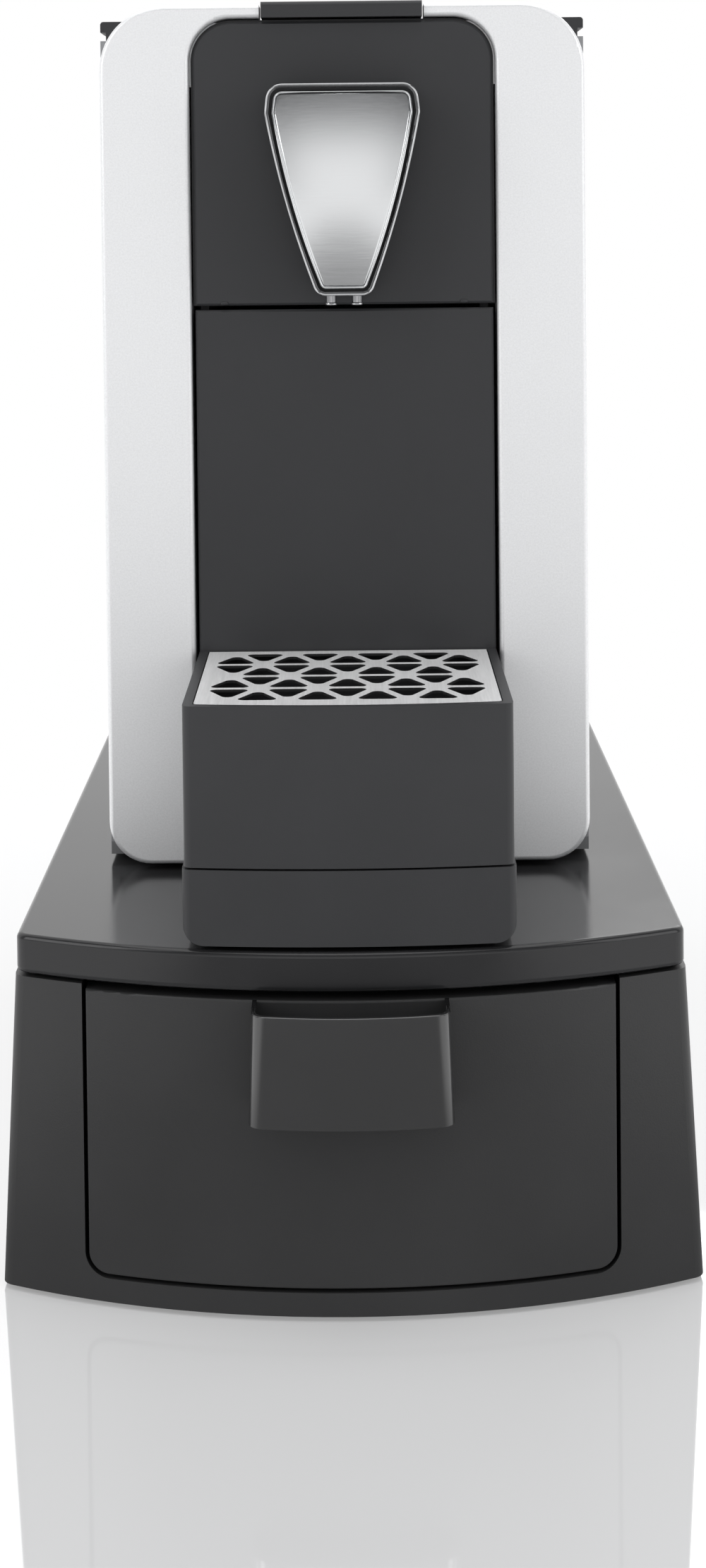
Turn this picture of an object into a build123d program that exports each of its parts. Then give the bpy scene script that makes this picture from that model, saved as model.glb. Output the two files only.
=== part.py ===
from build123d import *
from math import cos, pi, radians, sin, sqrt
import os

os.makedirs("parts", exist_ok=True)

# All sizes are in millimetres and degrees. The front faces -Y, +Z is up, and the origin is on the
# floor under the middle of the object's box.

# Stand: a bow-fronted plate on a flared shell that holds one pod drawer
plate_depth = 385.0
plate_thickness = 11.3
plate_bow = 22.5
plate_edge_round = 1.6
plate_front_corner = 5.0
plate_rear_corner = 16.0
plate_land_height = 1.0
plate_land_width = 8.0
plate_side_setback = 0.6
stand_height = 105.7
stand_foot_height = 1.6
stand_foot_radius = 9.0
stand_foot_inset = 24.0
shell_width_top = 195.0
shell_width_base = 205.0
shell_wall = 4.0
shell_floor = 4.0
shell_front_frame = 12.0
shell_reveal = 0.6

# Pod drawer
drawer_front_width = 152.0
drawer_front_bottom = 9.6
drawer_front_drop = 1.5
drawer_front_thickness = 7.0
drawer_front_corner = 6.0
drawer_front_gap = 1.15
drawer_edge_round = 0.6
drawer_box_depth = 318.0
drawer_box_drop = 13.3
drawer_wall = 2.4
drawer_lanes = 3
drawer_box_inset = 3.0
drawer_box_lift = 3.0
lane_corner = 8.0
drawer_side_play = 1.0
rail_width = 9.0
rail_thickness = 2.4
rail_height = 22.0
drawer_rail_gap = 0.4
handle_width_top = 55.4
handle_width_bottom = 57.4
handle_height = 31.0
handle_reach = 16.0
handle_bow = 3.0
handle_wall = 2.0
handle_side_wall = 1.2
handle_corner = 4.8
handle_floor = 5.0

# Front fascia and the dark strip in its middle
machine_foot_height = 2.0
machine_foot_radius = 8.0
machine_foot_inset = 20.0
fascia_width = 152.0
fascia_height = 270.7
fascia_depth = 14.0
fascia_top_corner = 20.3
fascia_bottom_corner = 13.4
fascia_edge_round = 1.4
fascia_web_height = 20.0
fascia_web_thickness = 4.0
strip_width = 96.0
strip_top_bar = 4.0
strip_corner = 13.4
strip_groove = 1.2
notch_flare = 2.0
notch_round = 1.8
panel_recess = 1.0
panel_thickness = 4.0
panel_edge_bevel = 0.7
panel_flange = 1.5
panel_flange_gap = 0.5
split_height = 176.0
split_gap = 1.4

# Drip tray unit, plinth and cup grid
tray_depth = 90.0
tray_setback = 0.8
tray_width = 93.5
tray_bow = 3.2
tray_corner = 2.5
tray_inner_corner = 1.2
tray_top_height = 67.5
tray_floor = 3.0
tray_side_rim = 2.8
tray_front_rim = 2.6
tray_rear_rim = 1.0
tray_ledge = 1.6
plinth_width = 94.6
plinth_height = 21.6
plinth_clearance = 1.5
plinth_corner = 6.0
plinth_gap = 0.6
plinth_wall = 3.0
grid_thickness = 0.8
grid_clearance = 0.35
grid_side_border = 0.5
grid_end_border = 3.6
grid_rows = 4
grid_columns = 9
grid_bar = 2.8
grid_hole_round = 1.8
bin_width = 84.0
bin_depth = 98.0
bin_height = 128.0
bin_wall = 2.2
bin_corner = 8.0
bin_play = 1.2

# Body behind the fascia
body_width = 153.5
body_depth = 202.0
body_wall = 2.5
body_rear_corner = 14.0
rear_panel_width = 120.0
base_thickness = 4.0
vent_length = 34.0
vent_width = 2.6
vent_pitch = 6.5
vent_count = 6
vent_rise = 40.0
cover_lip = 3.4
cover_drop = 3.8
cover_groove_height = 2.7
cover_groove_depth = 1.8
cover_skirt = 5.0
cover_edge_round = 1.0
frame_wall = 2.6
shelf_thickness = 3.0
shelf_clearance = 2.4

# Lever, cam and brew group
lever_width = 50.4
lever_thickness = 5.0
lever_proud = 1.0
lever_overhang = 1.2
lever_gap = 0.6
lever_opening = 78.0
lever_nose = 1.6
pivot_depth = 135.0
pivot_radius = 4.0
pivot_fit = 0.05
drum_radius = 34.0
drum_wall = 3.2
drum_tail = 62.0
cam_thickness = 4.0
cam_rim = 5.0
cam_steps = 12
cage_radius = 20.0
cage_length = 34.0
cage_bore = 15.2
cage_bore_depth = 27.0
cage_bore_end = 12.0
seal_thickness = 0.6
cage_travel = 33.0
cage_yoke_width = 22.0
cage_yoke_height = 16.0
cage_axis_drop = 41.0
cage_gap = 1.0
cross_pin_radius = 3.0
cross_pin_setback = 8.0
slot_clearance = 0.3
head_depth = 26.0
head_rise = 22.0
head_round = 8.0
extraction_thickness = 3.0
extraction_radius = 17.0
sieve_holes = 8
sieve_circle = 10.0
sieve_hole_radius = 1.2
brew_plate = 3.0
brew_plate_gap = 0.6
brew_plate_margin = 10.0

# Spout
spout_width = 47.8
spout_top_width = 45.8
spout_bottom_width = 16.6
spout_top_drop = 25.4
spout_height = 65.2
spout_reach = 18.0
spout_shoulder = 9.0
spout_bulge = 1.4
spout_corner_top = 5.0
spout_corner_bottom = 4.0
bezel_width = 1.2
bezel_depth = 4.0
bezel_gap = 1.4
shield_crown = 4.6
shield_thickness = 1.6
shield_edge_round = 0.9
nozzle_radius = 1.7
nozzle_bore = 0.9
nozzle_spacing = 8.0
nozzle_length = 3.0
duct_radius = 5.0
duct_rise = 14.0

# Top buttons and power button
button_length = 24.0
button_width = 11.0
button_spread = 102.0
button_depth = 46.0
button_proud = 1.0
button_flange = 1.5
button_travel = 2.0
button_clearance = 0.35
board_thickness = 1.6
board_length = 52.0
board_width = 26.0
board_gap = 0.4
board_post_radius = 2.5
power_radius = 8.0
power_offset = 38.0
power_proud = 3.0
inlet_width = 27.0
inlet_height = 20.0
inlet_offset = -34.0
inlet_wall = 2.5
inlet_depth = 15.0
inlet_lip = 1.5
inlet_pin_width = 2.0
inlet_pin_height = 4.0
inlet_pin_length = 9.0
inlet_pin_spread = 7.0
inlet_pin_rise = 3.0

# Water tank on its dock
dock_width = 140.0
dock_depth = 63.0
dock_height = 48.0
dock_wall = 2.6
dock_corner = 16.0
tank_clearance = 1.0
tank_height = 192.0
tank_wall = 2.6
tank_width = 136.0
tank_corner = 15.0
tank_front_corner = 3.0
tank_seat_gap = 0.5
socket_radius = 11.0
socket_height = 11.0
socket_play = 1.0
valve_radius = 6.0
valve_length = 7.0
lid_thickness = 4.0
lid_skirt = 6.0
lid_clearance = 0.5
hinge_pin_radius = 1.6
hinge_knuckle = 3.4
hinge_ear = 5.0
hinge_span = 60.0
hinge_fit = 0.05

# Water path inside the body
pump_radius = 18.0
pump_length = 80.0
pump_coil_radius = 23.0
pump_coil_length = 46.0
pump_mount_width = 10.0
pump_lift = 4.0
boiler_width = 66.0
boiler_depth = 52.0
boiler_height = 74.0
boiler_round = 10.0
boiler_fins = 5
boiler_groove = 4.0
hose_radius = 3.2
hose_bend = 9.0
hose_reach = 14.0
hose_play = 0.6
control_depth = 74.0
control_height = 80.0
standoff_radius = 3.0
standoff_length = 6.0
relay_size = 18.0
meter_radius = 14.0
meter_thickness = 16.0
screw_radius = 2.0
screw_head_radius = 3.6
screw_head_height = 1.2
screw_setback = 16.0

# Places worked out from the sizes above
overall_depth = plate_depth + handle_reach
plate_front = handle_reach - overall_depth / 2
plate_rear = overall_depth / 2
plate_width = shell_width_top - 2 * plate_side_setback
plate_bottom = stand_height - plate_thickness
shell_top = plate_bottom - plate_land_height
shell_floor_top = stand_foot_height + shell_floor
bow_radius = ((plate_width / 2) ** 2 + plate_bow**2) / (2 * plate_bow)
bow_centre = plate_front + bow_radius
machine_bottom = stand_height + machine_foot_height
fascia_top = machine_bottom + fascia_height
tray_front = plate_front + tray_setback
fascia_front = tray_front + tray_depth
fascia_rear = fascia_front + fascia_depth
body_rear = fascia_rear + body_depth
cover_top = fascia_top - cover_drop
side_top = cover_top - cover_lip - cover_groove_height
split_z = machine_bottom + split_height
strip_top = fascia_top - strip_top_bar
panel_back = fascia_front + panel_recess + panel_thickness


def save(node, shape):
    """Write one piece of the object."""
    export_step(shape, f"parts/{node}.step")


def group(solids):
    """Several separate solids that share one node."""
    return Compound(children=[solid for part in solids for solid in part.solids()])


def slab(x0, x1, y0, y1, z0, z1):
    """A straight block between two corners."""
    return Pos((x0 + x1) / 2, (y0 + y1) / 2, (z0 + z1) / 2) * Box(x1 - x0, y1 - y0, z1 - z0)


def rounded(x0, x1, z0, z1, low=0.0, high=0.0):
    """A rectangle between two corners, with rounded lower and upper corners."""
    outline = Pos((x0 + x1) / 2, (z0 + z1) / 2) * Rectangle(x1 - x0, z1 - z0)
    if low > 0:
        outline = fillet(outline.vertices().group_by(Axis.Y)[0], low)
    if high > 0:
        outline = fillet(outline.vertices().group_by(Axis.Y)[-1], high)
    return outline


def upright(outline, y0, y1):
    """A front-view outline (x, z) given depth from y0 back to y1."""
    plane = Plane(origin=(0, y0, 0), x_dir=(1, 0, 0), z_dir=(0, -1, 0))
    return extrude(plane * outline, amount=y0 - y1)


def level(outline, z0, z1):
    """A plan outline (x, y) given height from z0 up to z1."""
    return extrude(Pos(0, 0, z0) * outline, amount=z1 - z0)


def sideways(outline, x0, x1):
    """A side-view outline (y, z) given width from x0 to x1."""
    return extrude(Plane(origin=(x0, 0, 0), x_dir=(0, 1, 0), z_dir=(1, 0, 0)) * outline, amount=x1 - x0)


def rod(radius, start, end):
    """A round bar between two points."""
    start, end = Vector(*start), Vector(*end)
    plane = Plane(origin=start, z_dir=end - start)
    return extrude(plane * Circle(radius), amount=(end - start).length)


def mirrored(part):
    """The same piece on the other side of the middle plane."""
    return mirror(part, about=Plane.YZ)


def bow_y(x, inset=0.0):
    """Depth of the stand's bowed front at a distance x from the middle."""
    return bow_centre - sqrt((bow_radius - inset) ** 2 - x**2)


def bow_outline(width, inset, rear, front_corner=0.0, rear_corner=0.0):
    """Plan of a piece with the stand's bowed front, straight sides and a straight rear."""
    half = width / 2
    left = (-half, bow_y(half, inset))
    right = (half, bow_y(half, inset))
    arc = ThreePointArc(left, (0, bow_y(0, inset)), right)
    sides = Polyline(right, (half, rear), (-half, rear), left)
    outline = make_face((arc + sides).edges())
    if front_corner > 0:
        outline = fillet(outline.vertices().group_by(Axis.Y)[0], front_corner)
    if rear_corner > 0:
        outline = fillet(outline.vertices().group_by(Axis.Y)[-1], rear_corner)
    return outline


def bowed(width, front, rear, bow, corner):
    """Plan with a shallow bowed front and rounded front corners."""
    half = width / 2
    arc = ThreePointArc((-half, front + bow), (0, front), (half, front + bow))
    sides = Polyline((half, front + bow), (half, rear), (-half, rear), (-half, front + bow))
    outline = make_face((arc + sides).edges())
    return fillet(outline.vertices().group_by(Axis.Y)[0], corner)


# Stand
plate = level(bow_outline(plate_width, 0, plate_rear, plate_front_corner, plate_rear_corner),
              plate_bottom, stand_height)
plate_rims = plate.edges().group_by(Axis.Z)
plate = fillet(plate_rims[0] + plate_rims[-1], plate_edge_round)
land_outer = shell_width_top / 2 - shell_wall / 2
land_front = bow_y(land_outer) + shell_front_frame
land_rear = plate_rear - shell_wall / 2 - plate_rear_corner
land = slab(land_outer - plate_land_width, land_outer, land_front, land_rear, shell_top, plate_bottom)
plate += land + mirrored(land)
save("stand_top_plate", plate)

shell_rear = plate_rear - shell_reveal


def shell_loft(wall, front_inset, z0, z1):
    """Flared body between two heights, drawn in by a wall thickness."""
    rise = shell_top - stand_foot_height
    sections = []
    for z in (z0, z1):
        share = (z - stand_foot_height) / rise
        width = shell_width_base + (shell_width_top - shell_width_base) * share - 2 * wall
        sections.append(Pos(0, 0, z) * bow_outline(width, front_inset, shell_rear - wall,
                                                   plate_front_corner, plate_rear_corner - wall))
    return loft(sections, ruled=True)


drawer_half = drawer_front_width / 2
drawer_front_top = shell_top - drawer_front_drop
drawer_opening_half = drawer_half + drawer_front_gap
drawer_opening_bottom = drawer_front_bottom - drawer_front_gap
drawer_box_half = drawer_half - drawer_box_inset
drawer_box_bottom = drawer_front_bottom + drawer_box_lift
drawer_box_top = drawer_front_top - drawer_box_drop
shell = shell_loft(0, shell_reveal, stand_foot_height, shell_top)
shell -= shell_loft(shell_wall, shell_reveal + shell_front_frame, shell_floor_top, shell_top)
drawer_opening = rounded(-drawer_opening_half, drawer_opening_half, drawer_opening_bottom,
                         plate_bottom, drawer_front_corner + drawer_front_gap)
shell -= upright(drawer_opening, plate_front - shell_wall, land_front + shell_wall)
save("stand_shell", shell)

foot_x = shell_width_base / 2 - stand_foot_inset
foot_front = bow_y(foot_x) + stand_foot_inset
foot_rear = plate_rear - stand_foot_inset
stand_feet = [rod(stand_foot_radius, (x, y, 0), (x, y, stand_foot_height))
              for x in (-foot_x, foot_x) for y in (foot_front, foot_rear)]
save("stand_feet", group(stand_feet))

rail_wall = drawer_box_half + drawer_side_play
rail_shelf_top = drawer_box_bottom - drawer_rail_gap
rail_profile = rounded(rail_wall, rail_wall + rail_thickness, shell_floor_top, shell_floor_top + rail_height)
rail_profile += rounded(rail_wall + rail_thickness - rail_width, rail_wall + rail_thickness,
                        rail_shelf_top - rail_thickness, rail_shelf_top)
rail_front = land_front
rail_rear = shell_rear - shell_wall
rail = upright(rail_profile, rail_front, rail_rear)
save("drawer_rail_right", rail)
save("drawer_rail_left", mirrored(rail))

# Drawer
drawer_front_back = bow_y(drawer_half, shell_reveal) + drawer_front_thickness
drawer_front = level(bow_outline(drawer_front_width, shell_reveal, drawer_front_back),
                     drawer_front_bottom, drawer_front_top)
drawer_mask = rounded(-drawer_half, drawer_half, drawer_front_bottom, drawer_front_top, drawer_front_corner)
drawer_front &= upright(drawer_mask, plate_front - shell_wall, drawer_front_back)
drawer_face = drawer_front.faces().sort_by(Axis.Y)[0]
drawer_front = fillet(drawer_face.edges(), drawer_edge_round)

lane_width = (2 * drawer_box_half - (drawer_lanes + 1) * drawer_wall) / drawer_lanes
drawer_box = slab(-drawer_box_half, drawer_box_half, drawer_front_back, drawer_front_back + drawer_box_depth,
                  drawer_box_bottom, drawer_box_top)
for lane in range(drawer_lanes):
    lane_left = -drawer_box_half + drawer_wall + lane * (lane_width + drawer_wall)
    hollow = rounded(lane_left, lane_left + lane_width, drawer_box_bottom + drawer_wall,
                     drawer_box_top + drawer_wall, lane_corner)
    drawer_box -= upright(hollow, drawer_front_back + drawer_wall,
                          drawer_front_back + drawer_box_depth - drawer_wall)
save("drawer_box", drawer_box)

handle_front = plate_front - handle_reach
handle_bottom = drawer_front_top - handle_height


def handle_loft(wall, z0, z1, front, rear):
    """Bow-fronted scoop that widens towards the bottom, between two heights."""
    sections = []
    for z in (z0, z1):
        share = (drawer_front_top - z) / handle_height
        width = handle_width_top + (handle_width_bottom - handle_width_top) * share - 2 * wall
        outline = bowed(width, front, rear, handle_bow, handle_corner - wall)
        sections.append(Pos(0, 0, z) * outline)
    return loft(sections, ruled=True)


handle_rear = bow_y(handle_width_bottom / 2, shell_reveal) + handle_wall
handle = handle_loft(0, handle_bottom, drawer_front_top, handle_front, handle_rear)
handle -= handle_loft(handle_side_wall, handle_bottom + handle_floor, drawer_front_top + handle_wall,
                      handle_front + handle_wall, handle_rear)
handle -= drawer_front
save("drawer_handle", handle)
save("drawer_front", drawer_front)

# Front fascia with its strip opening and the notch for the lever's end
strip_half = strip_width / 2
panel_half = strip_half - strip_groove
panel_front = fascia_front + panel_recess
lever_half = lever_width / 2
lever_top = fascia_top + lever_proud
lever_bottom = lever_top - lever_thickness
notch_half = lever_half + lever_gap
notch_bottom = lever_bottom - lever_gap
web_top = notch_bottom - lever_gap
base_top = machine_bottom + base_thickness

fascia_outline = rounded(-fascia_width / 2, fascia_width / 2, machine_bottom, fascia_top,
                         fascia_bottom_corner, fascia_top_corner)
fascia_outline -= rounded(-strip_half, strip_half, machine_bottom - fascia_bottom_corner, strip_top,
                          high=strip_corner)
fascia = upright(fascia_outline, fascia_front, fascia_rear)
fascia = fillet(fascia.edges().group_by(Axis.Y)[0], fascia_edge_round)
fascia += slab(-strip_half, strip_half, panel_back, panel_back + fascia_web_thickness,
               web_top - fascia_web_height, web_top)
notch = rounded(-notch_half, notch_half, notch_bottom, lever_top + lever_gap)
notch += rounded(-notch_half - notch_flare, notch_half + notch_flare, strip_top - notch_flare, strip_top,
                 high=notch_round)
fascia -= upright(notch, fascia_front - fascia_edge_round, fascia_rear)
save("front_fascia", fascia)


def front_panel(z0, z1, top_corner):
    """Flat panel of the dark strip, with a bevel round its face."""
    panel = upright(rounded(-panel_half, panel_half, z0, z1, high=top_corner), panel_front, panel_back)
    return chamfer(panel.edges().group_by(Axis.Y)[0], panel_edge_bevel)


# Spout: a shield-shaped housing with a bezel, a domed shield and two nozzles
spout_top = fascia_top - spout_top_drop
spout_bottom = spout_top - spout_height
spout_front = panel_front - spout_reach
housing_front = spout_front + bezel_depth
spout_middle = (spout_front + panel_front) / 2


def spout_outline(inset=0.0):
    """Shield outline: sloped shoulders, then bulged sides that run down to a narrow bottom."""
    shoulder_z = spout_top - spout_shoulder
    half, foot = spout_width / 2, spout_bottom_width / 2
    middle = ((half + foot) / 2 + spout_bulge, (shoulder_z + spout_bottom) / 2)
    right = ThreePointArc((half, shoulder_z), middle, (foot, spout_bottom))
    left = ThreePointArc((-foot, spout_bottom), (-middle[0], middle[1]), (-half, shoulder_z))
    top = spout_top_width / 2
    rim = Polyline((-half, shoulder_z), (-top, spout_top), (top, spout_top), (half, shoulder_z))
    outline = make_face((rim + right + Line((foot, spout_bottom), (-foot, spout_bottom)) + left).edges())
    outline = fillet(outline.vertices().group_by(Axis.Y)[-1], spout_corner_top)
    outline = fillet(outline.vertices().group_by(Axis.Y)[0], spout_corner_bottom)
    return offset(outline, amount=-inset) if inset else outline


duct_z = spout_bottom + duct_rise
duct_end = fascia_rear
bezel_seat = bezel_width / 2
spout_housing = upright(spout_outline(bezel_seat), housing_front, panel_front)
spout_housing += rod(duct_radius, (0, panel_front, duct_z), (0, duct_end, duct_z))
save("spout_housing", spout_housing)
bezel = upright(spout_outline() - spout_outline(bezel_width), spout_front, housing_front + bezel_width)
bezel -= spout_housing
bezel = fillet(bezel.edges().group_by(Axis.Y)[0], bezel_width / 3)
save("spout_bezel", bezel)
shield_radius = ((spout_height / 2) ** 2 + shield_crown**2) / (2 * shield_crown)
shield_front = housing_front - shield_thickness - shield_crown
shield = upright(spout_outline(bezel_width + bezel_gap), shield_front, housing_front)
shield &= Pos(0, shield_front + shield_radius, (spout_top + spout_bottom) / 2) * Sphere(shield_radius)
shield_face = shield.faces().sort_by(Axis.Y)[0]
shield = fillet(shield_face.edges(), shield_edge_round)
save("spout_shield", shield)
nozzles = []
for side in (-1, 1):
    x = side * nozzle_spacing / 2
    nozzle = rod(nozzle_radius, (x, spout_middle, spout_bottom - nozzle_length),
                 (x, spout_middle, spout_bottom + bezel_gap))
    nozzle -= rod(nozzle_bore, (x, spout_middle, spout_bottom - nozzle_length),
                  (x, spout_middle, spout_bottom))
    nozzles.append(nozzle - spout_housing)
save("spout_nozzles", group(nozzles))

# The upper panel has a flange at its rear that closes the groove round it
upper_panel_bottom = split_z + split_gap / 2
upper_panel = front_panel(upper_panel_bottom, strip_top - strip_groove, strip_corner - strip_groove)
flange_half = strip_half - panel_flange_gap
panel_flange_outline = rounded(-flange_half, flange_half, upper_panel_bottom, strip_top - panel_flange_gap,
                               high=strip_corner - panel_flange_gap)
upper_panel += upright(panel_flange_outline, panel_back - panel_flange, panel_back)
upper_panel -= rod(duct_radius, (0, panel_front, duct_z), (0, panel_back, duct_z))
save("upper_front_panel", upper_panel)

# Plinth, drip tray, niche panel and capsule bin
plinth_bottom = stand_height + plinth_clearance
plinth_top = plinth_bottom + plinth_height
tray_bottom = plinth_top + plinth_gap
tray_top = machine_bottom + tray_top_height


def tray_plan(side_inset, front_inset, rear_inset, corner):
    """The tray's plan drawn in from its outside faces."""
    return bowed(tray_width - 2 * side_inset, tray_front + front_inset, panel_front - rear_inset,
                 tray_bow, corner)


plinth_plan = bowed(plinth_width, tray_front, fascia_rear, tray_bow, tray_corner)
plinth = level(plinth_plan, plinth_bottom, plinth_top)
plinth_half = plinth_width / 2
plinth &= upright(rounded(-plinth_half, plinth_half, plinth_bottom, plinth_top, plinth_corner),
                  tray_front, fascia_rear)
plinth_inside = bowed(plinth_width - 2 * plinth_corner, tray_front + plinth_corner,
                      fascia_rear - plinth_wall, tray_bow, tray_corner)
plinth -= level(plinth_inside, plinth_bottom, plinth_top - plinth_wall)
save("base_plinth", plinth)

tray = level(tray_plan(0, 0, 0, tray_corner), tray_bottom, tray_top)
tray -= level(tray_plan(tray_side_rim, tray_front_rim, tray_rear_rim, tray_inner_corner),
              tray_top - grid_thickness, tray_top)
tray -= level(tray_plan(tray_side_rim + tray_ledge, tray_front_rim + tray_ledge, tray_rear_rim + tray_ledge,
                        tray_inner_corner), tray_bottom + tray_floor, tray_top)
save("drip_tray", tray)

niche_top = split_z - split_gap / 2
save("niche_panel", front_panel(tray_bottom, niche_top, 0))

grid_side = tray_side_rim + grid_clearance
grid_front = tray_front + tray_front_rim + grid_clearance
grid_rear = panel_front - tray_rear_rim - grid_clearance
grid = level(tray_plan(grid_side, tray_front_rim + grid_clearance, tray_rear_rim + grid_clearance,
                       tray_inner_corner), tray_top - grid_thickness, tray_top)
cell_width = (tray_width - 2 * grid_side - 2 * grid_side_border) / (grid_columns + 1)
cell_depth = (grid_rear - grid_front - tray_bow - 2 * grid_end_border) / grid_rows


def grid_hole(turn):
    """Rounded triangle that leaves half a bar round itself in its cell."""
    tip = turn * cell_depth / 2
    triangle = make_face(Polyline((-cell_width, -tip), (cell_width, -tip), (0, tip), close=True).edges())
    triangle = offset(triangle, amount=-grid_bar / 2, kind=Kind.INTERSECTION)
    return fillet(triangle.vertices(), grid_hole_round)


holes = []
for row in range(grid_rows):
    y = grid_front + tray_bow + grid_end_border + (row + 0.5) * cell_depth
    for column in range(grid_columns):
        x = (column - (grid_columns - 1) / 2) * cell_width
        holes.append(Pos(x, y) * grid_hole(1 if (row + column) % 2 else -1))
grid -= [level(hole, tray_top - grid_thickness, tray_top) for hole in holes]
save("cup_grid", grid)

bin_half = bin_width / 2
bin_rear = panel_back + bin_depth
capsule_bin = level(rounded(-bin_half, bin_half, panel_back, bin_rear, high=bin_corner),
                    tray_bottom, tray_bottom + bin_height)
capsule_bin -= level(rounded(-bin_half + bin_wall, bin_half - bin_wall, panel_back + bin_wall,
                             bin_rear - bin_wall, high=bin_corner - bin_wall),
                     tray_bottom + bin_wall, tray_bottom + bin_height)
save("capsule_bin", capsule_bin)

# Body shells
body_half = body_width / 2
dock_end = body_rear + dock_depth
dock_top = base_top + dock_height
cover_bottom = cover_top - cover_lip
pivot_y = fascia_front + pivot_depth
pivot_z = lever_top - drum_radius


def body_plan(inset):
    """The body's plan drawn in from its sides and rear, open to the fascia."""
    return rounded(-body_half + inset, body_half - inset, fascia_rear, body_rear - inset,
                   high=body_rear_corner - inset)


def dock_plan(inset):
    """The tank dock's plan behind the body, drawn in from its sides and rear."""
    half = dock_width / 2 - inset
    return rounded(-half, half, body_rear, dock_end - inset, high=dock_corner - inset)


rubber_x = body_half - machine_foot_inset
machine_feet, case_screws, screw_holes = [], [], []
for x in (-rubber_x, rubber_x):
    for y, step in ((fascia_rear + machine_foot_inset, 1), (dock_end - machine_foot_inset, -1)):
        machine_feet.append(rod(machine_foot_radius, (x, y, stand_height), (x, y, machine_bottom)))
        screw_y = y + step * screw_setback
        shank = rod(screw_radius, (x, screw_y, machine_bottom), (x, screw_y, base_top))
        head = rod(screw_head_radius, (x, screw_y, machine_bottom - screw_head_height),
                   (x, screw_y, machine_bottom))
        screw_holes.append(shank)
        case_screws.append(shank + head)
save("machine_feet", group(machine_feet))
save("case_screws", group(case_screws))
save("machine_base", level(body_plan(0) + dock_plan(0), machine_bottom, base_top) - screw_holes)

rear_half = rear_panel_width / 2
walls = level(body_plan(0) - body_plan(body_wall), base_top, side_top)
walls -= slab(-rear_half, rear_half, fascia_rear, body_rear, base_top, side_top)
right_side = walls.solids().sort_by(Axis.X)[-1]
vent = Rot(0, 0, 90) * SlotOverall(vent_length, vent_width)
for index in range(vent_count):
    y = body_rear - body_rear_corner - vent_pitch * (index + 1)
    z = base_top + vent_rise
    right_side -= sideways(Pos(y, z) * vent, body_half - 2 * body_wall, body_half)
save("right_side_panel", right_side)
save("left_side_panel", mirrored(right_side))

# Brew buttons, their boards and the top cover
button_x = button_spread / 2
button_y = fascia_rear + button_depth
flange_top = cover_bottom - button_clearance
flange_bottom = flange_top - button_flange
board_top = flange_bottom - button_travel - board_gap
pill = Rot(0, 0, 90) * SlotOverall(button_length, button_width)
pill_hole = Rot(0, 0, 90) * SlotOverall(button_length + 2 * button_clearance,
                                        button_width + 2 * button_clearance)
pill_flange = Rot(0, 0, 90) * SlotOverall(button_length + 2 * button_flange,
                                          button_width + 2 * button_flange)
button = level(pill, flange_top, cover_top + button_proud)
button = fillet(button.edges().group_by(Axis.Z)[-1], button_proud / 2)
button += level(pill_flange, flange_bottom, flange_top)
button = Pos(button_x, button_y, 0) * button
save("brew_button_right", button)
save("brew_button_left", mirrored(button))

cover = level(body_plan(0), cover_bottom, cover_top)
cover = fillet(cover.edges().group_by(Axis.Z)[-1].sort_by(Axis.Y)[1:], cover_edge_round)
cover += level(body_plan(cover_groove_depth) - body_plan(cover_skirt), side_top, cover_bottom)
post_y = board_length / 2 - board_post_radius
# The paddle's top face stands at the opening angle, a drum radius from the pivot: the well clears it
well_rise = (cover_bottom - pivot_z) * cos(radians(lever_opening))
well_reach = (drum_radius - well_rise) / sin(radians(lever_opening)) + lever_gap
boards = []
for x in (-button_x, button_x):
    cover -= level(Pos(x, button_y) * pill_hole, cover_bottom, cover_top)
    for y in (button_y - post_y, button_y + post_y):
        cover += rod(board_post_radius, (x, y, board_top), (x, y, cover_bottom))
    boards.append(slab(x - board_width / 2, x + board_width / 2, button_y - board_length / 2,
                       button_y + board_length / 2, board_top - board_thickness, board_top))
save("button_boards", group(boards))
cover -= slab(-notch_half, notch_half, fascia_rear, pivot_y + well_reach, side_top, cover_top)
cover -= rod(drum_radius + lever_gap, (-notch_half, pivot_y, pivot_z), (notch_half, pivot_y, pivot_z))
save("top_cover", cover)

# Brew group: head, capsule cage and the plates that carry them on the inner frame
brew_z = cover_top - cage_axis_drop
head_rear = fascia_rear + head_depth
cage_mouth = head_rear + extraction_thickness + cage_gap
cage_rear = cage_mouth + cage_length
pin_y = cage_rear + cross_pin_setback
yoke_rear = pin_y + 2 * cross_pin_radius
brew_inner = lever_half + brew_plate_gap
brew_outer = brew_inner + brew_plate
shelf_bottom = split_z + shelf_clearance
shelf_top = shelf_bottom + shelf_thickness
shelf_rear = pivot_y + brew_plate_margin
slot_radius = cross_pin_radius + slot_clearance

head = sideways(rounded(fascia_rear, head_rear, shelf_top, brew_z + head_rise, high=head_round),
                -brew_inner, brew_inner)
save("brew_head", head)
sieve = rod(extraction_radius, (0, head_rear, brew_z), (0, head_rear + extraction_thickness, brew_z))
for index in range(sieve_holes):
    turn = 2 * pi * index / sieve_holes
    x, z = sieve_circle * cos(turn), brew_z + sieve_circle * sin(turn)
    sieve -= rod(sieve_hole_radius, (x, head_rear, z), (x, head_rear + extraction_thickness, z))
save("extraction_plate", sieve)

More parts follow.
